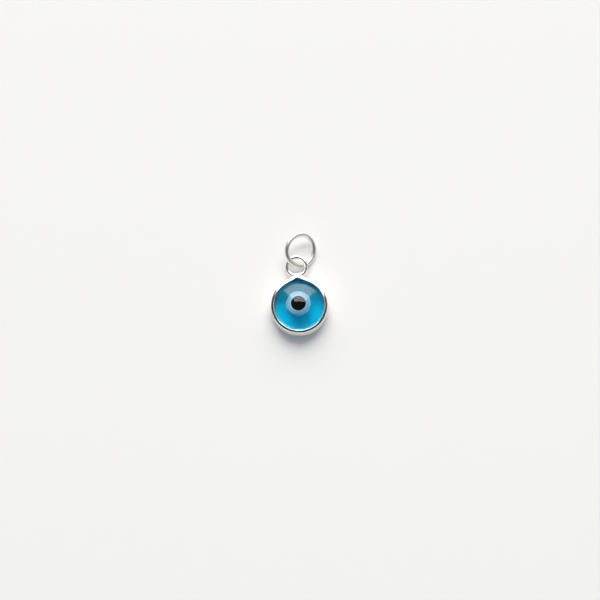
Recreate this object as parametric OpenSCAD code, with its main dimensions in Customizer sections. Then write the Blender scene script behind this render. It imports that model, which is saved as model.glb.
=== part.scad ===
// Evil eye pendant, lying on a flat surface: a domed glass bead with an eye, held edgewise in a
// pinched silver strip, with a soldered loop and an open jump ring. Millimetres, +Z up, the rings
// towards +Y, and the origin on the surface, under the middle of the whole piece.

/* [Glass bead] */
// Diameter of the bead at its edge
bead_d = 7.1; // [6:0.1:8.5]
// Height of the straight edge between the two domes
edge_h = 1.1; // [0.8:0.05:1.4]
// Rise of the front dome above the straight edge
front_rise = 1.2; // [0.8:0.05:1.5]
// Rise of the shallow back dome, on which the pendant lies
back_rise = 0.65; // [0.6:0.01:0.9]

/* [Eye] */
// Diameter of the pale disc in the front dome
eye_d = 3.44; // [2.6:0.02:4]
// Depth of the pale disc at its edge
eye_edge = 0.22; // [0.15:0.01:0.4]
// Diameter of the black pupil
pupil_d = 2.08; // [1.2:0.02:2.2]
// Depth of the pupil at its edge
pupil_edge = 0.12; // [0.08:0.01:0.2]
// Sideways offset of the eye from the bead's axis, as set by hand
eye_x = -0.1; // [-0.2:0.02:0.2]
// Offset of the eye from the bead's axis towards the rings
eye_y = 0.14; // [-0.2:0.02:0.2]
// Gap between one colour of glass and the next
glass_gap = 0.02; // [0.01:0.005:0.04]

/* [Silver strip] */
// Height of the strip round the bead's edge
strip_h = 2.2; // [2:0.05:2.25]
// Thickness of the strip
strip_t = 0.43; // [0.36:0.01:0.5]
// Radius of the strip's rounded outer edges
strip_round = 0.14; // [0.1:0.01:0.2]
// Radius of the strip's rounded inner edges
lip_round = 0.14; // [0.05:0.01:0.15]
// How far the strip's lips reach over the bead's edge
lip_over = 0.04; // [0.03:0.01:0.1]
// Clearance between the bead's edge and the groove that holds it
seat_gap = 0.02; // [0.01:0.005:0.04]
// Angle from the point of the strip to where each straight arm leaves the round
pinch_angle = 26.5; // [22:0.5:34]

/* [Loop] */
// Outer diameter of the soldered loop
loop_od = 3.17; // [2.9:0.01:3.6]
// Wire of the soldered loop
loop_wire = 0.5; // [0.4:0.01:0.6]
// How deep the loop is let into the point of the strip
loop_sink = 0.32; // [0.28:0.01:0.44]
// Width across the solder that fills both notches between the loop and the strip
solder_w = 1.56; // [1.3:0.02:1.7]
// Thickness of the solder
solder_t = 0.36; // [0.3:0.01:0.4]
// How far the solder fills the bottom of the loop's hole
solder_fill = 0.22; // [0.1:0.01:0.3]

/* [Jump ring] */
// Outer diameter of the jump ring
ring_od = 5.04; // [4.5:0.02:6]
// Wire of the jump ring
ring_wire = 0.64; // [0.5:0.01:0.75]
// Clear space that the jump ring's lean leaves between its wire and the loop's wire
link_gap = 0.21; // [0.18:0.01:0.3]
// How far the jump ring's wire passes beyond the middle of the loop's hole
link_lift = 0.1; // [0:0.02:0.2]
// Angle round the ring from its lowest point to where it passes the loop
link_angle = -76; // [-90:0.2:-65]
// Direction of the ring's lowest point, seen from above, from +X
low_turn = -29.9; // [-45:0.1:-15]
// Angle round the ring from its lowest point to the cut
cut_angle = 8.4; // [-20:0.2:40]
// Width of the cut in the jump ring
cut_w = 0.06; // [0.03:0.01:0.12]

/* [Rest] */
// Clearance under the point of the strip as the pendant lies on its back dome
floor_gap = 0.02; // [0.01:0.005:0.05]

/* [Hidden] */
$fn = 96;
// How far a cutting or bounding shape reaches past what it cuts
past = 1;

// Bead, on its own axis with the middle of its edge at the origin
bead_r = bead_d / 2;
front_top = edge_h / 2 + front_rise;
back_top = edge_h / 2 + back_rise;
front_r = (bead_r * bead_r + front_rise * front_rise) / (2 * front_rise);
back_r = (bead_r * bead_r + back_rise * back_rise) / (2 * back_rise);
eye_off = sqrt(eye_x * eye_x + eye_y * eye_y);
eye_floor = dome_z(eye_d / 2 + eye_off) - eye_edge;
pupil_floor = dome_z(pupil_d / 2 + eye_off) - pupil_edge;

// Strip, whose lips stand over the bead's edge on both sides
lip_r = bead_r - lip_over;
groove_r = bead_r + seat_gap;
groove_h = edge_h + 2 * (lip_rise(min(front_r, back_r)) + seat_gap);
outer_r = lip_r + strip_t;
arm_l = outer_r * tan(pinch_angle);
inner_point = lip_r / cos(pinch_angle);
outer_point = outer_r / cos(pinch_angle);

// Rest: the tilt at which the back dome and the strip's lower point both come down to the surface
round_r = outer_r - strip_round;
round_z = strip_h / 2 - strip_round;
dome_d = back_r - back_top;
point_away = norm([round_r / cos(pinch_angle), dome_d + round_z]);
rest_tilt = atan2(round_r / cos(pinch_angle), dome_d + round_z)
    - acos((back_r - floor_gap - strip_round) / point_away);
rest_h = back_r - dome_d * cos(rest_tilt);

// Loop, centred on the pendant's long axis
loop_wr = loop_wire / 2;
loop_r = loop_od / 2 - loop_wr;
loop_y = outer_point + loop_od / 2 - loop_sink;

// Jump ring, which leans so far that it clears the loop's wire on both sides of the hole
ring_wr = ring_wire / 2;
ring_r = ring_od / 2 - ring_wr;
ring_lean = asin((ring_wr + loop_wr + link_gap) / loop_r);
ring_z = ring_wr + ring_r * sin(ring_lean);
// The loop is soldered at the height on the strip at which the ring through it lies on the surface
pass_y = loop_y + link_lift;
pass_z = ring_z - ring_r * sin(ring_lean) * cos(link_angle);
loop_z = (pass_z - rest_h + pass_y * sin(rest_tilt)) / cos(rest_tilt);
link_out = ring_r * cos(link_angle) * cos(ring_lean);
link_side = ring_r * sin(link_angle);
ring_x = -(link_out * cos(low_turn) - link_side * sin(low_turn));
ring_y = pass_y * cos(rest_tilt) + loop_z * sin(rest_tilt)
    - (link_out * sin(low_turn) + link_side * cos(low_turn));

// Middle of the whole piece along Y, from the bead's middle
lean_y = sin(ring_lean) * sin(low_turn);
far_y = ring_y + ring_r * sqrt(1 - lean_y * lean_y) + ring_wr;
near_y = -(round_r * cos(rest_tilt) + round_z * sin(rest_tilt) + strip_round);
mid_y = (far_y + near_y) / 2;

// Height of the front dome above the bead's middle, at a distance from its axis
function dome_z(away) = front_top - front_r + sqrt(front_r * front_r - away * away);
// How much higher a dome stands at the lips than at the bead's edge
function lip_rise(dome_r) = sqrt(dome_r * dome_r - lip_r * lip_r) - sqrt(dome_r * dome_r - bead_r * bead_r);

// Turns a piece from the pendant's own axes to where it lies
module laid() {
    translate([0, -mid_y, rest_h]) rotate([-rest_tilt, 0, 0]) children();
}

// Everything under the front dome's sphere
module front_sphere() {
    translate([0, 0, front_top - front_r]) sphere(r = front_r);
}

// A round plug of glass under the front dome, from a floor up
module plug(r, floor_z) {
    intersection() {
        front_sphere();
        translate([eye_x, eye_y, floor_z]) cylinder(r = r, h = front_top - floor_z + past);
    }
}

// A round pocket for a plug, open at the front
module pocket(r, floor_z) {
    translate([eye_x, eye_y, floor_z - glass_gap])
        cylinder(r = r + glass_gap, h = front_top - floor_z + past);
}

// Blue glass: a straight edge between two domes, with a pocket for the eye
module glass_body() {
    color([0.0, 0.5, 0.78, 0.7]) laid() difference() {
        intersection() {
            translate([0, 0, -back_top - past]) cylinder(r = bead_r, h = front_top + back_top + 2 * past);
            front_sphere();
            translate([0, 0, back_r - back_top]) sphere(r = back_r);
        }
        pocket(eye_d / 2, eye_floor);
    }
}

// Pale disc of the eye, flush with the dome
module eye_white() {
    color([0.66, 0.84, 0.93]) laid() difference() {
        plug(eye_d / 2, eye_floor);
        pocket(pupil_d / 2, pupil_floor);
    }
}

// Black dot of the eye, flush with the dome
module pupil() {
    color([0.03, 0.03, 0.04]) laid() plug(pupil_d / 2, pupil_floor);
}

// Section of the strip, as distance from the bead's axis and height: flat inside with a groove for
// the bead's edge, and rounded at all four edges
module strip_section() {
    lip_z = strip_h / 2 - lip_round;
    difference() {
        union() {
            translate([lip_r, -lip_z]) square([strip_t - strip_round, 2 * lip_z]);
            translate([lip_r + lip_round, -strip_h / 2]) square([strip_t - strip_round - lip_round, strip_h]);
            translate([round_r, -round_z]) square([strip_round, 2 * round_z]);
            for (side = [-1, 1]) {
                translate([round_r, side * round_z]) circle(r = strip_round);
                translate([lip_r + lip_round, side * lip_z]) circle(r = lip_round);
            }
        }
        translate([0, -groove_h / 2]) square([groove_r, groove_h]);
    }
}

// One straight arm, from the round to the point, mitred on the pendant's long axis
module strip_arm() {
    intersection() {
        rotate([0, 0, 90 + pinch_angle]) rotate([90, 0, 0]) linear_extrude(height = arm_l) strip_section();
        translate([-2 * outer_r, 0, -strip_h]) cube([2 * outer_r, 2 * outer_r, 2 * strip_h]);
    }
}

// Wire loop, filed away where it would reach inside the strip's point
module loop_wire_ring() {
    difference() {
        translate([0, loop_y, loop_z]) rotate_extrude() translate([loop_r, 0]) circle(r = loop_wr);
        translate([-loop_od, inner_point - loop_od, loop_z - loop_wire])
            cube([2 * loop_od, loop_od, 2 * loop_wire]);
    }
}

// Solder in the two notches between the loop and the strip's arms, let into both, and in the bottom
// of the loop's hole
module solder() {
    edge_x = solder_w / 2;
    arm_y = (outer_r - edge_x * sin(pinch_angle)) / cos(pinch_angle);
    wire_y = loop_y - sqrt((loop_r + loop_wr) * (loop_r + loop_wr) - edge_x * edge_x);
    depth = wire_y - arm_y + loop_wr;
    for (side = [-1, 1])
        translate([side * edge_x * 3 / 4, (arm_y + wire_y) / 2, loop_z])
            cube([edge_x / 2, depth, solder_t], center = true);
    intersection() {
        translate([0, loop_y, loop_z]) cylinder(r = loop_r, h = solder_t, center = true);
        translate([-loop_r, loop_y - 2 * loop_r + loop_wr + solder_fill, loop_z - loop_wire])
            cube([2 * loop_r, loop_r, 2 * loop_wire]);
    }
}

// Silver strip round the bead with its loop, soldered into one
module bezel() {
    color([0.86, 0.86, 0.85]) laid() union() {
        rotate([0, 0, 90 + pinch_angle]) rotate_extrude(angle = 360 - 2 * pinch_angle) strip_section();
        strip_arm();
        mirror([1, 0, 0]) strip_arm();
        loop_wire_ring();
        solder();
    }
}

// Round wire ring with a fine cut, lying with one side on the surface and the other on the loop
module jump_ring() {
    cut_turn = 2 * asin(cut_w / (2 * ring_r));
    color([0.86, 0.86, 0.85])
        translate([ring_x, ring_y - mid_y, ring_z])
            rotate([0, 0, low_turn]) rotate([0, ring_lean, 0])
                rotate([0, 0, cut_angle + cut_turn / 2])
                    rotate_extrude(angle = 360 - cut_turn) translate([ring_r, 0]) circle(r = ring_wr);
}

glass_body();
eye_white();
pupil();
bezel();
jump_ring();
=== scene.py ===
"""Looks of an evil eye pendant: a domed blue glass bead with an eye, in a pinched silver strip with a
soldered loop and an open jump ring, lying on a flat surface. Metres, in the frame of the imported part."""

import bpy
import numpy as np
from mathutils import Matrix, Vector


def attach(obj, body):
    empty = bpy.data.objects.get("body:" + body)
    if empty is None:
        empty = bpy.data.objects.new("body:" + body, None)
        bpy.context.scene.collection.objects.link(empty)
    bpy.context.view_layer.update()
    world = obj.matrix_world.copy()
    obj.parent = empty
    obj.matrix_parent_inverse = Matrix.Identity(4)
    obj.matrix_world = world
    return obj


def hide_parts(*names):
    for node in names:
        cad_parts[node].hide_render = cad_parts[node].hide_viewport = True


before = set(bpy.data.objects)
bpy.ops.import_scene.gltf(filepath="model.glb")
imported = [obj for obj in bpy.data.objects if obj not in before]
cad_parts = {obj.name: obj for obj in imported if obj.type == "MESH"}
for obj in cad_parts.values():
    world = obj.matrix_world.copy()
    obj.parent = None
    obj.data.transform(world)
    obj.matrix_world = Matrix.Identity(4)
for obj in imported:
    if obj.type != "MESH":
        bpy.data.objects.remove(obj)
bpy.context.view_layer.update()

MM = 0.001
TURN = 2 * np.pi


# Driving sizes, in millimetres as a maker gives them, kept in metres

# Bead: radius, height of its straight edge, and how far each dome rises from it
BEAD_R, EDGE_H, FRONT_RISE, BACK_RISE = 3.55 * MM, 1.1 * MM, 1.2 * MM, 0.65 * MM
# Pale disc and black dot: radius, depth at the edge, depth of the face under the dome, and edge rounding
EYE_R, EYE_EDGE, EYE_DEPTH, EYE_BEND = 1.72 * MM, 0.22 * MM, 0.03 * MM, 0.06 * MM
DOT_R, DOT_EDGE, DOT_DEPTH, DOT_BEND = 1.04 * MM, 0.12 * MM, 0.02 * MM, 0.03 * MM
# Place of the eye, and how far up the disc, towards the window, its thickest and palest colour lies from
# its middle: the shift paints the lower part of the disc darker, as shade
EYE_X, EYE_Y, EYE_SHADE_SHIFT = -0.1 * MM, 0.14 * MM, 0.3 * MM
# Strip: height, thickness, rounding of its outer edges and of its lip, the lip's bevel, how far the lip
# reaches over the bead, its gap there, and the width and height over which its upper side bulges
STRIP_H, STRIP_T, STRIP_ROUND, LIP_ROUND = 2.2 * MM, 0.43 * MM, 0.14 * MM, 0.045 * MM
LIP_BEVEL, LIP_OVER, SEAT_GAP = 0.14 * MM, 0.04 * MM, 0.02 * MM
SIDE_ROUND, SIDE_BELLY = 0.14 * MM, 0.22 * MM
# Angle from the strip's point to where each straight arm leaves the round, and slopes of face and bevel
PINCH, FACE_SLOPE, BEVEL_SLOPE = np.radians(26.5), np.radians(9), np.radians(36)
POINT_SOFT = np.radians(1.6)
# Loop, and its solder: how deep it starts in the strip, how far it fills the hole, the hollow of its end,
# its half width and half height at the strip, and how much of each is lost on the way to the loop
LOOP_OUT, LOOP_WIRE, LOOP_SINK = 1.585 * MM, 0.25 * MM, 0.32 * MM
SOLDER_LET, SOLDER_FILL, SOLDER_DIP = 0.5 * MM, 0.22 * MM, 0.2 * MM
SOLDER_WIDE, SOLDER_NARROWS, SOLDER_CURVE = 0.9 * MM, 0.35 * MM, 0.8
SOLDER_HIGH, SOLDER_THINS = 0.28 * MM, 0.13 * MM
# Jump ring: radius, wire, and width, bevel and corner of its cut
RING_OUT, RING_WIRE, CUT_W = 2.52 * MM, 0.32 * MM, 0.06 * MM
CUT_BEVEL, CUT_CORNER = 0.03 * MM, 0.008 * MM
# Clear space at the loop, how far the ring passes the hole's middle, and space under the strip's point
LINK_GAP, LINK_LIFT, FLOOR_GAP = 0.21 * MM, 0.1 * MM, 0.02 * MM
# Angles round the ring from its lowest point to the loop and to the cut, and the way that point faces
LINK_ANGLE, LOW_TURN, CUT_ANGLE = np.radians(-76), np.radians(-29.9), np.radians(8.4)

# Domes, and the lips of the strip over the bead's edge
FRONT_TOP, BACK_TOP = EDGE_H / 2 + FRONT_RISE, EDGE_H / 2 + BACK_RISE
FRONT_R = (BEAD_R**2 + FRONT_RISE**2) / (2 * FRONT_RISE)
BACK_R = (BEAD_R**2 + BACK_RISE**2) / (2 * BACK_RISE)
LIP_R, OUTER_R = BEAD_R - LIP_OVER, BEAD_R - LIP_OVER + STRIP_T

# The small tilt at which the back dome and the strip's lower point both come down to the floor
SIDE_R, SIDE_Z, DOME_D = OUTER_R - STRIP_ROUND, STRIP_H / 2 - STRIP_ROUND, BACK_R - BACK_TOP
POINT_Y, POINT_Z = SIDE_R / np.cos(PINCH), DOME_D + SIDE_Z
POINT_AWAY = np.hypot(POINT_Y, POINT_Z)
TILT = np.arctan2(POINT_Y, POINT_Z) - np.arccos((BACK_R - FLOOR_GAP - STRIP_ROUND) / POINT_AWAY)
REST_H = BACK_R - DOME_D * np.cos(TILT)

# Loop and jump ring, which leans so far that it clears the loop's wire on both sides of the hole
LOOP_R, RING_R = LOOP_OUT - LOOP_WIRE, RING_OUT - RING_WIRE
LOOP_Y = OUTER_R / np.cos(PINCH) + LOOP_OUT - LOOP_SINK
LEAN = np.arcsin((RING_WIRE + LOOP_WIRE + LINK_GAP) / LOOP_R)
RING_Z = RING_WIRE + RING_R * np.sin(LEAN)
PASS_Y, PASS_Z = LOOP_Y + LINK_LIFT, RING_Z - RING_R * np.sin(LEAN) * np.cos(LINK_ANGLE)
LOOP_Z = (PASS_Z - REST_H + PASS_Y * np.sin(TILT)) / np.cos(TILT)
LINK_OUT, LINK_SIDE = RING_R * np.cos(LINK_ANGLE) * np.cos(LEAN), RING_R * np.sin(LINK_ANGLE)
RING_X = -(LINK_OUT * np.cos(LOW_TURN) - LINK_SIDE * np.sin(LOW_TURN))
RING_Y = (PASS_Y * np.cos(TILT) + LOOP_Z * np.sin(TILT)
          - (LINK_OUT * np.sin(LOW_TURN) + LINK_SIDE * np.cos(LOW_TURN)))
FAR_Y = RING_Y + RING_R * np.sqrt(1 - (np.sin(LEAN) * np.sin(LOW_TURN))**2) + RING_WIRE
NEAR_Y = -(SIDE_R * np.cos(TILT) + SIDE_Z * np.sin(TILT) + STRIP_ROUND)
MID_Y = (FAR_Y + NEAR_Y) / 2

LAID = Matrix.Translation((0, -MID_Y, REST_H)) @ Matrix.Rotation(-TILT, 4, "X")
RING_LAID = (Matrix.Translation((RING_X, RING_Y - MID_Y, RING_Z)) @ Matrix.Rotation(LOW_TURN, 4, "Z")
             @ Matrix.Rotation(LEAN, 4, "Y"))


# Meshes as grids of points

def moved(points, matrix):
    """Points turned and shifted by a 4 by 4 matrix."""
    m = np.array(matrix)
    return points @ m[:3, :3].T + m[:3, 3]


def tube_grid(points):
    """Faces of a closed tube: an array (rings, sides, 3) whose sides wrap, each ring joined to the next,
    with a fan to one middle point at each end."""
    rings, sides = points.shape[:2]
    here = np.arange(rings * sides).reshape(rings, sides)
    side = np.roll(here, -1, 1)
    quads = np.stack([here[:-1], side[:-1], side[1:], here[1:]], -1).reshape(-1, 4)
    ends = points[[0, -1]].mean(1)
    first, last = rings * sides, rings * sides + 1
    low = np.stack([np.full(sides, first), side[0], here[0]], -1)
    high = np.stack([np.full(sides, last), here[-1], side[-1]], -1)
    return np.vstack([points.reshape(-1, 3), ends]), quads, np.vstack([low, high])


def loop_grid(points):
    """Faces of a tube closed on itself: both directions of the array (rings, sides, 3) wrap."""
    rings, sides = points.shape[:2]
    here = np.arange(rings * sides).reshape(rings, sides)
    side, ahead = np.roll(here, -1, 1), np.roll(here, -1, 0)
    both = np.roll(side, -1, 0)
    quads = np.stack([here, side, both, ahead], -1).reshape(-1, 4)
    return points.reshape(-1, 3), quads, np.empty((0, 3), int)


def outwards(verts, quads, tris):
    """Quads and triangles of a closed shell, turned to face outwards: they are turned round where the
    volume that they enclose, summed over the triangles from each face to the origin, is negative."""
    a, b, c, d = (verts[quads[:, i]] for i in range(4))
    p, q, r = (verts[tris[:, i]] for i in range(3))
    volume = ((np.cross(b - a, c - a) * a).sum() + (np.cross(c - a, d - a) * a).sum()
              + (np.cross(q - p, r - p) * p).sum())
    return (quads[:, ::-1], tris[:, ::-1]) if volume < 0 else (quads, tris)


def make_piece(name, shells, material, stands_for):
    """One smooth object from closed shells of points, quads and triangles."""
    points, loops, starts, at, loop_at = [], [], [], 0, 0
    for verts, quads, tris in shells:
        for faces in outwards(verts, quads, tris):
            loops.append((faces + at).ravel())
            starts.append(loop_at + np.arange(len(faces)) * faces.shape[1])
            loop_at += faces.size
        points.append(verts)
        at += len(verts)
    mesh = bpy.data.meshes.new(name)
    points, loops, starts = np.vstack(points), np.concatenate(loops), np.concatenate(starts)
    mesh.vertices.add(len(points))
    mesh.vertices.foreach_set("co", points.astype(np.float32).ravel())
    mesh.loops.add(len(loops))
    mesh.loops.foreach_set("vertex_index", loops.astype(np.int32))
    mesh.polygons.add(len(starts))
    mesh.polygons.foreach_set("loop_start", starts.astype(np.int32))
    mesh.update(calc_edges=True)
    mesh.validate()
    mesh.polygons.foreach_set("use_smooth", np.ones(len(mesh.polygons), bool))
    mesh.materials.append(material)
    piece = bpy.data.objects.new(name, mesh)
    bpy.context.scene.collection.objects.link(piece)
    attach(piece, "root")
    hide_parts(stands_for)
    return piece


def mark_points(piece, name, values):
    """A value at each point of a piece, which its material reads by this name."""
    attribute = piece.data.attributes.new(name, "FLOAT", "POINT")
    attribute.data.foreach_set("value", values.astype(np.float32))


# Nodes

def set_inputs(tree, made, inputs):
    """Sets inputs of a node by name or number, each to a value or to another node's output."""
    for key, value in inputs.items():
        if isinstance(value, bpy.types.NodeSocket):
            tree.links.new(value, made.inputs[key])
        else:
            made.inputs[key].default_value = value


def node(tree, kind, inputs=None, **settings):
    """A node with its settings and its inputs."""
    made = tree.nodes.new(kind)
    for key, value in settings.items():
        setattr(made, key, value)
    set_inputs(tree, made, inputs or {})
    return made


def ramp(tree, value, start, end, low=0.0, high=1.0):
    """Goes from the low value to the high one as the given value goes from start to end."""
    return node(tree, "ShaderNodeMapRange", {"Value": value, "From Min": start, "From Max": end,
                                             "To Min": low, "To Max": high}).outputs[0]


def maths(tree, operation, *values):
    """One operation on two or three values."""
    return node(tree, "ShaderNodeMath", dict(enumerate(values)), operation=operation).outputs[0]


def mix_values(tree, share, first, second):
    """First value turning into the second as the share goes from 0 to 1."""
    return node(tree, "ShaderNodeMix", {0: share, 2: first, 3: second}, data_type="FLOAT").outputs[0]


def mix_colours(tree, share, first, second):
    """First colour turning into the second as the share goes from 0 to 1. Each is three numbers or another
    node's output."""
    ends = {6: first, 7: second}
    for key, colour in ends.items():
        if not isinstance(colour, bpy.types.NodeSocket):
            ends[key] = (*colour, 1)
    return node(tree, "ShaderNodeMix", {0: share, **ends}, data_type="RGBA").outputs[2]


def own_place(tree):
    """A point's place in the piece's own coordinates, in metres."""
    return node(tree, "ShaderNodeTexCoord").outputs["Object"]


def cloudiness(tree, place, scale, detail=2.0):
    """Soft noise round one half, its scale in waves a metre."""
    return node(tree, "ShaderNodeTexNoise", {"Vector": place, "Scale": scale, "Detail": detail}).outputs[0]


# Handling wear: each set of scratches is turned and stretched, and noise shows from one level to another
SCRATCH_SETS, SCRATCH_TIP = ((0.5, (1, 14, 3)), (2.1, (12, 1, 4))), (0.2, 0.1)
SCRATCH_START, SCRATCH_FULL = 0.58, 0.74
SMUDGE_START, SMUDGE_FULL, SMUDGE_HEIGHT = 0.4, 0.68, 0.3


def wear_group():
    """Handling wear on a hard polished surface: fine scratches in two directions and soft smudges.
    Puts out a scratch mask and a smudge mask, both from 0 to 1, and a height: the scratches and a share
    of the smudges."""
    group = bpy.data.node_groups.new("HandlingWear", "ShaderNodeTree")
    for name, way in (("Scratch Scale", "INPUT"), ("Smudge Scale", "INPUT"), ("Scratches", "OUTPUT"),
                      ("Smudges", "OUTPUT"), ("Height", "OUTPUT")):
        group.interface.new_socket(name, in_out=way, socket_type="NodeSocketFloat")
    given, out = group.nodes.new("NodeGroupInput"), group.nodes.new("NodeGroupOutput")
    place = own_place(group)
    masks = []
    for turn, stretch in SCRATCH_SETS:
        lie = node(group, "ShaderNodeMapping",
                   {"Vector": place, "Rotation": (*SCRATCH_TIP, turn), "Scale": stretch})
        grain = cloudiness(group, lie.outputs[0], given.outputs["Scratch Scale"])
        masks.append(ramp(group, grain, SCRATCH_START, SCRATCH_FULL))
    scratches = maths(group, "MAXIMUM", *masks)
    cloud = cloudiness(group, place, given.outputs["Smudge Scale"], detail=3.0)
    smudges = ramp(group, cloud, SMUDGE_START, SMUDGE_FULL)
    height = maths(group, "MULTIPLY_ADD", smudges, SMUDGE_HEIGHT, scratches)
    set_inputs(group, out, {"Scratches": scratches, "Smudges": smudges, "Height": height})
    return group


WEAR = wear_group()


def place_wear(tree, scratch_scale, smudge_scale):
    """The wear group placed in a material with its own scales, in waves a metre."""
    return node(tree, "ShaderNodeGroup", {"Scratch Scale": scratch_scale, "Smudge Scale": smudge_scale},
                node_tree=WEAR).outputs


# Materials: colours, scales of their patterns in waves a metre, and where a pattern starts and is full
SILVER_CLEAN, SILVER_SMUDGED = (0.95, 0.94, 0.925), (0.86, 0.845, 0.82)
SILVER_SCRATCHES, SILVER_SMUDGES, SILVER_RELIEF, SILVER_RELIEF_H = 900, 700, 0.05, 0.01 * MM
GLASS_CLEAN, GLASS_SMUDGED = (1.0, 1.0, 1.0), (0.96, 0.98, 1.0)
GLASS_SCRATCHES, GLASS_SMUDGES, GLASS_ROUGH, GLASS_BEND = 700, 500, 0.05, 1.5
GLASS_DEPTH_COLOUR, GLASS_DENSITY = (0.0, 0.917, 0.986, 1), 1500.0
# Pale disc: the colour of its thick middle, which also stands for its lit upper side, and of its thin rim,
# which also paints shade on its lower side; then where that rim colour starts and is full
PALE_THICK_LIT, PALE_THIN_SHADED = (0.48, 0.67, 0.78), (0.12, 0.39, 0.57)
PALE_CLOUDS, PALE_CLOUD_SHARE, RIM_SHADE_START, RIM_SHADE_FULL = 900.0, 0.3, 0.6, 1.15
BLACK_DEEP, BLACK_CLOUDED, BLACK_CLOUDS = (0.002, 0.003, 0.004), (0.006, 0.009, 0.012), 1200.0
EYE_ROUGH = 0.6


def new_material(name):
    """An empty material with its tree and its Principled shader."""
    material = bpy.data.materials.new(name)
    material.use_nodes = True
    tree = material.node_tree
    return material, tree, tree.nodes["Principled BSDF"]


def silver_material(name, smooth, rough, satin):
    """Sterling silver: a warm white metal, duller in smudges and along fine scratches, and satin where the
    mesh says so."""
    material, tree, shader = new_material(name)
    wear = place_wear(tree, SILVER_SCRATCHES, SILVER_SMUDGES)
    polished = ramp(tree, wear["Height"], 0, 1 + SMUDGE_HEIGHT, smooth, rough)
    finish = node(tree, "ShaderNodeAttribute", attribute_name="satin").outputs["Fac"]
    bump = node(tree, "ShaderNodeBump", {"Height": wear["Height"], "Strength": SILVER_RELIEF,
                                         "Distance": SILVER_RELIEF_H})
    set_inputs(tree, shader, {
        "Base Color": mix_colours(tree, wear["Smudges"], SILVER_CLEAN, SILVER_SMUDGED),
        "Roughness": maths(tree, "MULTIPLY_ADD", finish, satin, polished),
        "Normal": bump.outputs[0],
        "Metallic": 1.0,
    })
    return material


def glass_material():
    """Clear turquoise glass: no tint at its surface, and red and some green taken by its depth."""
    material, tree, shader = new_material("turquoise_glass")
    wear = place_wear(tree, GLASS_SCRATCHES, GLASS_SMUDGES)
    set_inputs(tree, shader, {
        "Base Color": mix_colours(tree, wear["Smudges"], GLASS_CLEAN, GLASS_SMUDGED),
        "Roughness": ramp(tree, wear["Scratches"], 0, 1, 0, GLASS_ROUGH),
        "IOR": GLASS_BEND,
        "Transmission Weight": 1.0,
    })
    depth = node(tree, "ShaderNodeVolumeAbsorption",
                 {"Color": GLASS_DEPTH_COLOUR, "Density": GLASS_DENSITY})
    set_inputs(tree, tree.nodes["Material Output"], {"Volume": depth.outputs[0]})
    return material


def eye_shader(tree, shader, colour):
    """Both colours of the eye are matt, since they lie under the bead's clear surface."""
    set_inputs(tree, shader, {"Base Color": colour, "Roughness": EYE_ROUGH, "Specular IOR Level": 0.0})


def pale_material():
    """Pale blue glass of the eye, cloudy, and bluer and darker towards its rim, where it thins, and towards
    its lower side, where the darkening is painted shade.
    """
    material, tree, shader = new_material("pale_eye_glass")
    rim_and_shade = node(tree, "ShaderNodeAttribute", attribute_name="rim_and_shade").outputs["Fac"]
    # Share of the darker colour: the glass thinning at its rim and painted shade on its lower side
    thin_and_shaded = ramp(tree, rim_and_shade, RIM_SHADE_START, RIM_SHADE_FULL)
    cloud = cloudiness(tree, own_place(tree), PALE_CLOUDS)
    share = maths(tree, "MULTIPLY_ADD", cloud, PALE_CLOUD_SHARE, thin_and_shaded)
    eye_shader(tree, shader, mix_colours(tree, share, PALE_THICK_LIT, PALE_THIN_SHADED))
    return material


def black_material():
    """Black glass of the pupil, with a trace of blue where it is cloudy."""
    material, tree, shader = new_material("black_eye_glass")
    cloud = cloudiness(tree, own_place(tree), BLACK_CLOUDS)
    eye_shader(tree, shader, mix_colours(tree, cloud, BLACK_DEEP, BLACK_CLOUDED))
    return material


# Each silver has the roughness of its clean and its worn parts, and how much satin adds
SILVER = silver_material("polished_silver", 0.09, 0.26, 0.5)
WIRE = silver_material("drawn_silver", 0.36, 0.48, 0.0)
GLASS, PALE, BLACK = glass_material(), pale_material(), black_material()


# Glass bead with its eye

BEAD_SIDES, DOME_RINGS, EDGE_RINGS, DOME_POLE = 192, 70, 7, 0.012
EYE_SIDES, EYE_RINGS, EYE_BEND_RINGS, EYE_FLOOR_RINGS = 128, 28, 6, 11
EYE_POLE, EYE_FLOOR_POLE = 0.02, 0.03


def dome_z(away):
    """Height of the front dome over the bead's middle at a distance from its axis."""
    return FRONT_TOP - FRONT_R + np.sqrt(FRONT_R**2 - away**2)


def bead_shell():
    """Lens turned about its axis: front dome, straight edge, back dome. The half section runs from the
    front pole to the back pole, with the dome's angle eased so that rings crowd at neither."""
    front = np.linspace(DOME_POLE, 1, DOME_RINGS) * np.arcsin(BEAD_R / FRONT_R)
    back = np.linspace(1, DOME_POLE, DOME_RINGS) * np.arcsin(BEAD_R / BACK_R)
    edge_z = np.linspace(EDGE_H / 2, -EDGE_H / 2, EDGE_RINGS + 2)[1:-1]
    away = np.concatenate([FRONT_R * np.sin(front), np.full(EDGE_RINGS, BEAD_R), BACK_R * np.sin(back)])
    z = np.concatenate([FRONT_TOP - FRONT_R * (1 - np.cos(front)), edge_z,
                        -BACK_TOP + BACK_R * (1 - np.cos(back))])
    turn = np.linspace(0, TURN, BEAD_SIDES, endpoint=False)
    points = np.stack([away[:, None] * np.cos(turn), away[:, None] * np.sin(turn),
                       z[:, None] + 0 * turn], -1)
    verts, quads, tris = tube_grid(points)
    verts[-2, 2], verts[-1, 2] = FRONT_TOP, -BACK_TOP
    return moved(verts, LAID), quads, tris


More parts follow.
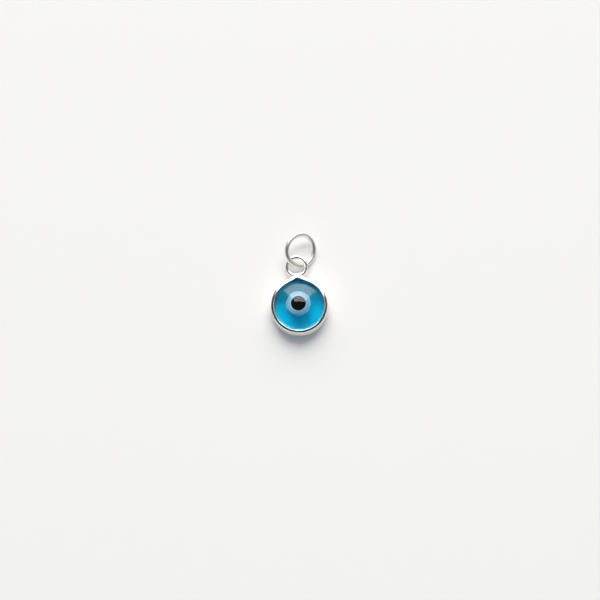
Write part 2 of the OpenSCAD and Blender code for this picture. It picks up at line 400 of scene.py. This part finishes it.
def eye_shell(radius, depth, edge, bend_r):
    """Plug of the eye: its top follows the dome at a small depth, its edge is rounded and its floor flat.
    Rings go from the middle out over the top, round the edge and back along the floor. Also gives each
    point's distance from the disc's palest colour, as a share of its radius; that colour is shifted up the
    disc, so that its lower part gets painted shade as well as its rim getting bluer."""
    floor_z = dome_z(radius + np.hypot(EYE_X, EYE_Y)) - edge
    turn = np.linspace(0, TURN, EYE_SIDES, endpoint=False)
    top = np.linspace(EYE_POLE, 1, EYE_RINGS) * (radius - bend_r)
    bend = np.linspace(0, np.pi / 2, EYE_BEND_RINGS + 1)[1:]
    floor = np.linspace(1, EYE_FLOOR_POLE, EYE_FLOOR_RINGS + 1)[1:] * radius
    away = np.concatenate([top, radius - bend_r * (1 - np.sin(bend)), floor])
    x, y = EYE_X + away[:, None] * np.cos(turn), EYE_Y + away[:, None] * np.sin(turn)
    drop = np.concatenate([0 * top, bend_r * (1 - np.cos(bend)), 0 * floor])
    z = dome_z(np.hypot(x, y)) - depth - drop[:, None]
    z[-EYE_FLOOR_RINGS:] = floor_z
    verts, quads, tris = tube_grid(np.stack([x, y, z], -1))
    # Distance from a point shifted up the disc, so that the disc's lower part reads as painted shade as
    # well as rim
    rim_and_shade = np.append(np.hypot(x - EYE_X, y - EYE_Y - EYE_SHADE_SHIFT).ravel() / radius, [0, 0])
    return (moved(verts, LAID), quads, tris), rim_and_shade


make_piece("bead_glass", [bead_shell()], GLASS, "glass_body")
# The disc keeps a value for its bluer rim and for painted shade on its lower side
disc_shell, disc_rim_and_shade = eye_shell(EYE_R, EYE_DEPTH, EYE_EDGE, EYE_BEND)
disc = make_piece("eye_disc", [disc_shell], PALE, "eye_white")
mark_points(disc, "rim_and_shade", disc_rim_and_shade)
dot_shell, _ = eye_shell(DOT_R, DOT_DEPTH, DOT_EDGE, DOT_BEND)
make_piece("eye_dot", [dot_shell], BLACK, "pupil")


# Silver strip with its loop

BEND_POINTS, SIDE_POINTS, LIP_POINTS = 7, 19, 5
# Round the strip: points near its point, how far they reach and how they crowd there, and the others
POINT_STEPS, POINT_REACH, POINT_CROWD, ROUND_STEPS = 121, PINCH * 1.15, 1.6, 420
LOOP_SIDES, LOOP_STEPS = 28, 144
SOLDER_SIDES, SOLDER_STEPS = 40, 30
# Satin of the outer wall, of the lip's inner edge, and of the loop and its solder
SATIN_WALL, SATIN_LIP, SATIN_LOOP, SATIN_EDGE = 1.4, 0.8, 0.12, 0.01 * MM


def half_section(side_out, side_down):
    """Upper half of the strip's section, from the groove's middle round to the wall's: a lip over the bead,
    a bevel that slopes up from it, a narrow face that slopes a little outwards, and a side that bulges as a
    quarter of an ellipse. Each rounding runs from the slope before it to the slope after it, and the next
    one's centre lies along the slope between them."""
    rise = np.linspace(-np.pi / 2, -BEVEL_SLOPE, BEND_POINTS)
    inner = np.linspace(-BEVEL_SLOPE, FACE_SLOPE, BEND_POINTS)
    outer = np.linspace(np.arctan2(side_out * np.tan(FACE_SLOPE), side_down), np.pi / 2, SIDE_POINTS)
    bevel_r, side_r = LIP_R + LIP_BEVEL - LIP_ROUND, OUTER_R - side_out
    lip_z = STRIP_H / 2 - LIP_ROUND
    low_z = lip_z - (LIP_BEVEL - 2 * LIP_ROUND) * np.tan(BEVEL_SLOPE)
    face_w = side_r + side_out * np.sin(outer[0]) - bevel_r - LIP_ROUND * np.sin(FACE_SLOPE)
    face_z = lip_z + LIP_ROUND * np.cos(FACE_SLOPE) - face_w * np.tan(FACE_SLOPE)
    side_z = face_z - side_down * np.cos(outer[0])
    lip_rise = np.sqrt(FRONT_R**2 - LIP_R**2) - np.sqrt(FRONT_R**2 - BEAD_R**2)
    groove_z, groove_r = EDGE_H / 2 + lip_rise + SEAT_GAP, BEAD_R + SEAT_GAP
    half_r = np.concatenate([[groove_r, groove_r], np.full(LIP_POINTS, LIP_R),
                             LIP_R + LIP_ROUND * (1 + np.sin(rise)), bevel_r + LIP_ROUND * np.sin(inner),
                             side_r + side_out * np.sin(outer), [OUTER_R, OUTER_R]])
    half_z = np.concatenate([[0, groove_z], np.linspace(groove_z, low_z, LIP_POINTS + 1)[:-1],
                             low_z + LIP_ROUND * np.cos(rise), lip_z + LIP_ROUND * np.cos(inner),
                             side_z + side_down * np.cos(outer), [side_z / 2, 0]])
    return half_r, half_z


def strip_section():
    """Closed section of the strip as distance from the bead's axis and height: the upper half, whose side
    bulges, and the lower one, which has a small round edge, turned upside down."""
    upper_r, upper_z = half_section(SIDE_ROUND, SIDE_BELLY)
    lower_r, lower_z = half_section(STRIP_ROUND, STRIP_ROUND)
    return np.concatenate([upper_r, lower_r[-2:0:-1]]), np.concatenate([upper_z, -lower_z[-2:0:-1]])


def strip_shell():
    """Strip bent round the bead and pinched: at an angle from the point, the round has the section's own
    distance, and the straight arms have it divided by the cosine of what is left of the pinch angle. The
    point is softened: its angle is the root of the angle's square and a small one's."""
    r, z = strip_section()
    near = np.linspace(-1, 1, POINT_STEPS)
    near = POINT_REACH * np.sign(near) * np.abs(near)**POINT_CROWD
    rest = np.linspace(POINT_REACH, TURN - POINT_REACH, ROUND_STEPS)[1:-1]
    turn = np.concatenate([near, rest])
    away = np.where(turn > np.pi, TURN - turn, turn)
    left = np.clip(PINCH - np.sqrt(away**2 + POINT_SOFT**2), 0, None)
    grow = 1 / np.cos(left)
    points = np.stack([np.sin(turn)[:, None] * grow[:, None] * r, np.cos(turn)[:, None] * grow[:, None] * r,
                       z + 0 * turn[:, None]], -1)
    verts, quads, tris = loop_grid(points)
    return moved(verts, LAID), quads, tris


def loop_shell():
    """Soldered loop: round wire bent into a closed ring. The wire's own circle is carried round the loop's
    circle, across the bead's axis."""
    turn = np.linspace(0, TURN, LOOP_STEPS, endpoint=False)[:, None]
    side = np.linspace(0, TURN, LOOP_SIDES, endpoint=False)
    away = LOOP_R + LOOP_WIRE * np.cos(side)
    points = np.stack([away * np.cos(turn), LOOP_Y + away * np.sin(turn),
                       LOOP_Z + LOOP_WIRE * np.sin(side) + 0 * turn], -1)
    verts, quads, tris = loop_grid(points)
    return moved(verts, LAID), quads, tris


def solder_shell():
    """Solder that fills both notches between the loop and the strip's point: a flattened tube along the
    long axis, whose half width falls from the strip to the loop by a power of the way along. Its end is
    hollow between the loop's two sides, by the cube of the way along and the square of the side's sine."""
    start, end = OUTER_R / np.cos(PINCH) - SOLDER_LET, LOOP_Y - LOOP_R + LOOP_WIRE + SOLDER_FILL
    along = np.linspace(0, 1, SOLDER_STEPS)[:, None]
    side = np.linspace(0, TURN, SOLDER_SIDES, endpoint=False)
    width = SOLDER_WIDE - SOLDER_NARROWS * along**SOLDER_CURVE
    height = SOLDER_HIGH - SOLDER_THINS * along
    hollow = SOLDER_DIP * along**3 * np.sin(side)**2
    points = np.stack([width * np.cos(side), start + (end - start) * along - hollow,
                       LOOP_Z + height * np.sin(side)], -1)
    verts, quads, tris = tube_grid(points)
    return moved(verts, LAID), quads, tris


def setting_satin(points, strip_points):
    """Satin at each point of the setting: the strip's own comes first and repeats with its section, fading
    in round the outer edge as a cube, and what follows is the loop's."""
    section_r, _ = strip_section()
    wall = SATIN_WALL * np.clip((section_r - SIDE_R) / STRIP_ROUND, 0, 1)**3
    lip = SATIN_LIP * (section_r < LIP_R + SATIN_EDGE)
    satin = np.full(points, SATIN_LOOP)
    satin[:strip_points] = np.tile(wall + lip, strip_points // len(section_r))
    return satin


strip = strip_shell()
setting = make_piece("silver_setting", [strip, loop_shell(), solder_shell()], SILVER, "bezel")
mark_points(setting, "satin", setting_satin(len(setting.data.vertices), len(strip[0])))


# Jump ring

RING_SIDES, RING_STEPS = 40, 300


def ring_shell():
    """Round wire bent into a ring that is cut once: rings of points from one end of the cut to the other,
    each end shut by a flat face with a small bevel."""
    half_cut = np.arcsin(CUT_W / (2 * RING_R))
    ends = np.array([0, 0.4, 1]) * CUT_BEVEL / RING_R
    span = TURN - 2 * half_cut
    middle = np.linspace(ends[-1], span - ends[-1], RING_STEPS)[1:-1]
    turn = np.concatenate([ends, middle, span - ends[::-1]])
    turn += CUT_ANGLE + half_cut
    wire = np.full(len(turn), RING_WIRE)
    wire[[0, -1]] -= CUT_BEVEL
    wire[[1, -2]] -= CUT_CORNER
    side = np.linspace(0, TURN, RING_SIDES, endpoint=False)
    away = RING_R + wire[:, None] * np.cos(side)
    points = np.stack([away * np.cos(turn)[:, None], away * np.sin(turn)[:, None],
                       wire[:, None] * np.sin(side)], -1)
    verts, quads, tris = tube_grid(points)
    return moved(verts, RING_LAID), quads, tris


make_piece("ring_wire", [ring_shell()], WIRE, "jump_ring")


# Floor, light and camera

# The line of sight leans from the bead's axis towards the viewer, and the photograph is turned a little
ROLL, SIGHT = np.radians(-3.9), np.radians(12.46)
TURNED = Matrix.Rotation(ROLL, 4, "Z")
FACING = Matrix.Rotation(SIGHT - TILT, 4, "X") @ TURNED

FLOOR_HALF, FLOOR_COLOUR, FLOOR_ROUGH, FLOOR_SHINE = 2, (0.9, 0.9, 0.895, 1), 0.9, 0.1

# Window: distance, lean away for each metre of height, sill, half width, and the elevation of its top
WINDOW_Y, WINDOW_LEAN, WINDOW_SILL, WINDOW_HALF = 0.6, 0.3, 0.03, 0.48
WINDOW_TOP = np.radians(58.5)
# Its light on the floor at its bottom and its top, between these heights, and its strength in mirrors
WINDOW_LOW, WINDOW_HIGH, WINDOW_FADE_LOW, WINDOW_FADE_HIGH = 2.5, 8.3, 0.2, 1.6
WINDOW_SHINE = 4.3
# Light that the room casts, that reaches the glass, and that the camera sees behind everything
ROOM_LIGHT, ROOM_THROUGH, ROOM_SEEN = 0.3, 0.05, 0.85
# What silver mirrors: a bright band, a wall and a darker ceiling, by the sine of their elevation
ROOM_BRIGHT, ROOM_SIDE, ROOM_TOP = 1.1, 0.13, 0.03
BAND_TOP, WALL_START, CEILING_START, CEILING_FULL = 0.3, 0.4, 0.5, 0.93
# Low down the band is dark at both sides, by the sine of elevation and the square of the sideways part
SIDE_LOW_FULL, SIDE_LOW_END, ASIDE_START, ASIDE_FULL = 0.14, 0.24, 0.3, 0.7
# Tints of the light on the floor, and of the wall in mirrors
ROOM_TINT, WINDOW_TINT, ROOM_WARM = (0.9, 0.985, 1.1), (1.04, 1.005, 0.96), (1.0, 0.93, 0.86)
WHITE = (1, 1, 1)
# Soft lamps that light the glass: lean from overhead towards the window and half width, both in degrees,
# and strength
GLASS_LAMPS = [(57, 20, 43.0), (37, 14, 28.0), (0, 20, 3.0)]


def stage_card(name, corners, material):
    """A flat stage piece with these corners."""
    mesh = bpy.data.meshes.new(name)
    mesh.from_pydata([Vector(c) for c in corners], [], [tuple(range(len(corners)))])
    mesh.materials.append(material)
    card = bpy.data.objects.new(name, mesh)
    bpy.context.scene.collection.objects.link(card)
    return card


def floor_material():
    """Pale matt paper."""
    material, tree, shader = new_material("pale_floor")
    set_inputs(tree, shader, {"Base Color": FLOOR_COLOUR, "Roughness": FLOOR_ROUGH,
                              "Specular IOR Level": FLOOR_SHINE})
    return material


def by_ray(tree, mirrored, through, other):
    """Three strengths: for what is mirrored in a polished surface, for what is seen through the glass,
    and for the light that falls on the floor."""
    rays = node(tree, "ShaderNodeLightPath").outputs
    polished = mix_values(tree, rays["Is Transmission Ray"], mirrored, through)
    return mix_values(tree, rays["Is Glossy Ray"], other, polished)


def on_paper(tree, tint, mirrored):
    """One tint where the light falls on the floor, and another where it is mirrored. A ray that lights the
    floor is known by not being a glossy one."""
    return mix_colours(tree, node(tree, "ShaderNodeLightPath").outputs["Is Glossy Ray"], tint, mirrored)


def glass_lamps(tree, way):
    """Strength seen through the glass in this direction: each lamp is full inside half its width and
    fades to nothing at its edge."""
    total = ROOM_THROUGH
    for lean, half, strength in GLASS_LAMPS:
        lean, half = np.radians(lean), np.radians(half)
        toward = node(tree, "ShaderNodeVectorMath", {0: way, 1: (0, np.sin(lean), np.cos(lean))},
                      operation="DOT_PRODUCT").outputs["Value"]
        lamp = ramp(tree, toward, np.cos(half), np.cos(half / 2), 0.0, strength)
        total = maths(tree, "ADD", total, lamp)
    return total


def window_material():
    """The window's light: stronger towards its top where it falls on the floor, even where it is mirrored,
    and the lamps of the glass where it is seen through the glass."""
    material = bpy.data.materials.new("window_light")
    material.use_nodes = True
    tree = material.node_tree
    tree.nodes.clear()
    place = own_place(tree)
    height = node(tree, "ShaderNodeSeparateXYZ", {0: place}).outputs["Z"]
    cast = ramp(tree, height, WINDOW_FADE_LOW, WINDOW_FADE_HIGH, WINDOW_LOW, WINDOW_HIGH)
    from_glass = node(tree, "ShaderNodeVectorMath", {0: place}, operation="NORMALIZE").outputs[0]
    glow = node(tree, "ShaderNodeEmission", {
        "Color": on_paper(tree, WINDOW_TINT, WHITE),
        "Strength": by_ray(tree, WINDOW_SHINE, glass_lamps(tree, from_glass), cast),
    })
    node(tree, "ShaderNodeOutputMaterial", {"Surface": glow.outputs[0]})
    return material


def window_corners():
    """Corners of the window, which leans away from the pendant as it rises: its top is where a line from
    the pendant at the top's elevation meets it. It is turned with the line of sight, as the camera is."""
    steep = np.tan(WINDOW_TOP)
    top = WINDOW_Y * steep / (1 - WINDOW_LEAN * steep)
    corners = []
    for side, z in ((-1, WINDOW_SILL), (1, WINDOW_SILL), (1, top), (-1, top)):
        corners.append(FACING @ Vector((side * WINDOW_HALF, WINDOW_Y + WINDOW_LEAN * z, z)))
    return corners


def room_world():
    """A dark room over a pale ground, bright near the horizon except low down at both sides."""
    world = bpy.data.worlds.new("room")
    world.use_nodes = True
    sky = world.node_tree
    sky.nodes.clear()
    way = node(sky, "ShaderNodeTexCoord").outputs["Generated"]
    part = node(sky, "ShaderNodeSeparateXYZ", {0: way}).outputs
    aside = ramp(sky, maths(sky, "MULTIPLY", part["X"], part["X"]), ASIDE_START, ASIDE_FULL)
    low = ramp(sky, part["Z"], SIDE_LOW_FULL, SIDE_LOW_END, 1.0, 0.0)
    past_band = maths(sky, "MAXIMUM", part["Z"], maths(sky, "MULTIPLY", aside, low))
    wall = ramp(sky, past_band, BAND_TOP, WALL_START)
    dark = ramp(sky, part["Z"], CEILING_START, CEILING_FULL, ROOM_SIDE, ROOM_TOP)
    room = mix_values(sky, wall, ROOM_BRIGHT, dark)
    lit = by_ray(sky, room, glass_lamps(sky, way), ROOM_LIGHT)
    to_camera = node(sky, "ShaderNodeLightPath").outputs["Is Camera Ray"]
    air = node(sky, "ShaderNodeBackground", {
        "Color": on_paper(sky, ROOM_TINT, mix_colours(sky, wall, WHITE, ROOM_WARM)),
        "Strength": mix_values(sky, to_camera, lit, ROOM_SEEN),
    })
    node(sky, "ShaderNodeOutputWorld", {"Surface": air.outputs[0]})
    return world


floor_corners = [(-FLOOR_HALF, -FLOOR_HALF, 0), (FLOOR_HALF, -FLOOR_HALF, 0),
                 (FLOOR_HALF, FLOOR_HALF, 0), (-FLOOR_HALF, FLOOR_HALF, 0)]
stage_card("floor", floor_corners, floor_material())
window = stage_card("window", window_corners(), window_material())
window.visible_camera = False
bpy.context.scene.world = room_world()

# The picture's middle, from the bead's middle across the line of sight, and the camera's distance
AIM_X, AIM_Y, CAMERA_AWAY = 0.155 * MM, 0.911 * MM, 0.498
# The picture's width and scale, and the distance at which it has this scale
PICTURE_PIXELS, PIXELS_A_METRE, SCALE_AWAY = 600, 7200, 0.5
camera_data = bpy.data.cameras.new("overhead")
camera_data.sensor_width = 36.0
camera_data.lens = camera_data.sensor_width * SCALE_AWAY / (PICTURE_PIXELS / PIXELS_A_METRE)
camera_data.clip_start, camera_data.clip_end = 0.01, 10.0
camera = bpy.data.objects.new("overhead", camera_data)
bpy.context.scene.collection.objects.link(camera)
aim = Matrix.Translation((AIM_X, AIM_Y, CAMERA_AWAY))
camera.matrix_world = LAID @ Matrix.Rotation(SIGHT, 4, "X") @ aim @ TURNED
bpy.context.scene.camera = camera
bpy.context.scene.view_settings.view_transform = "Standard"
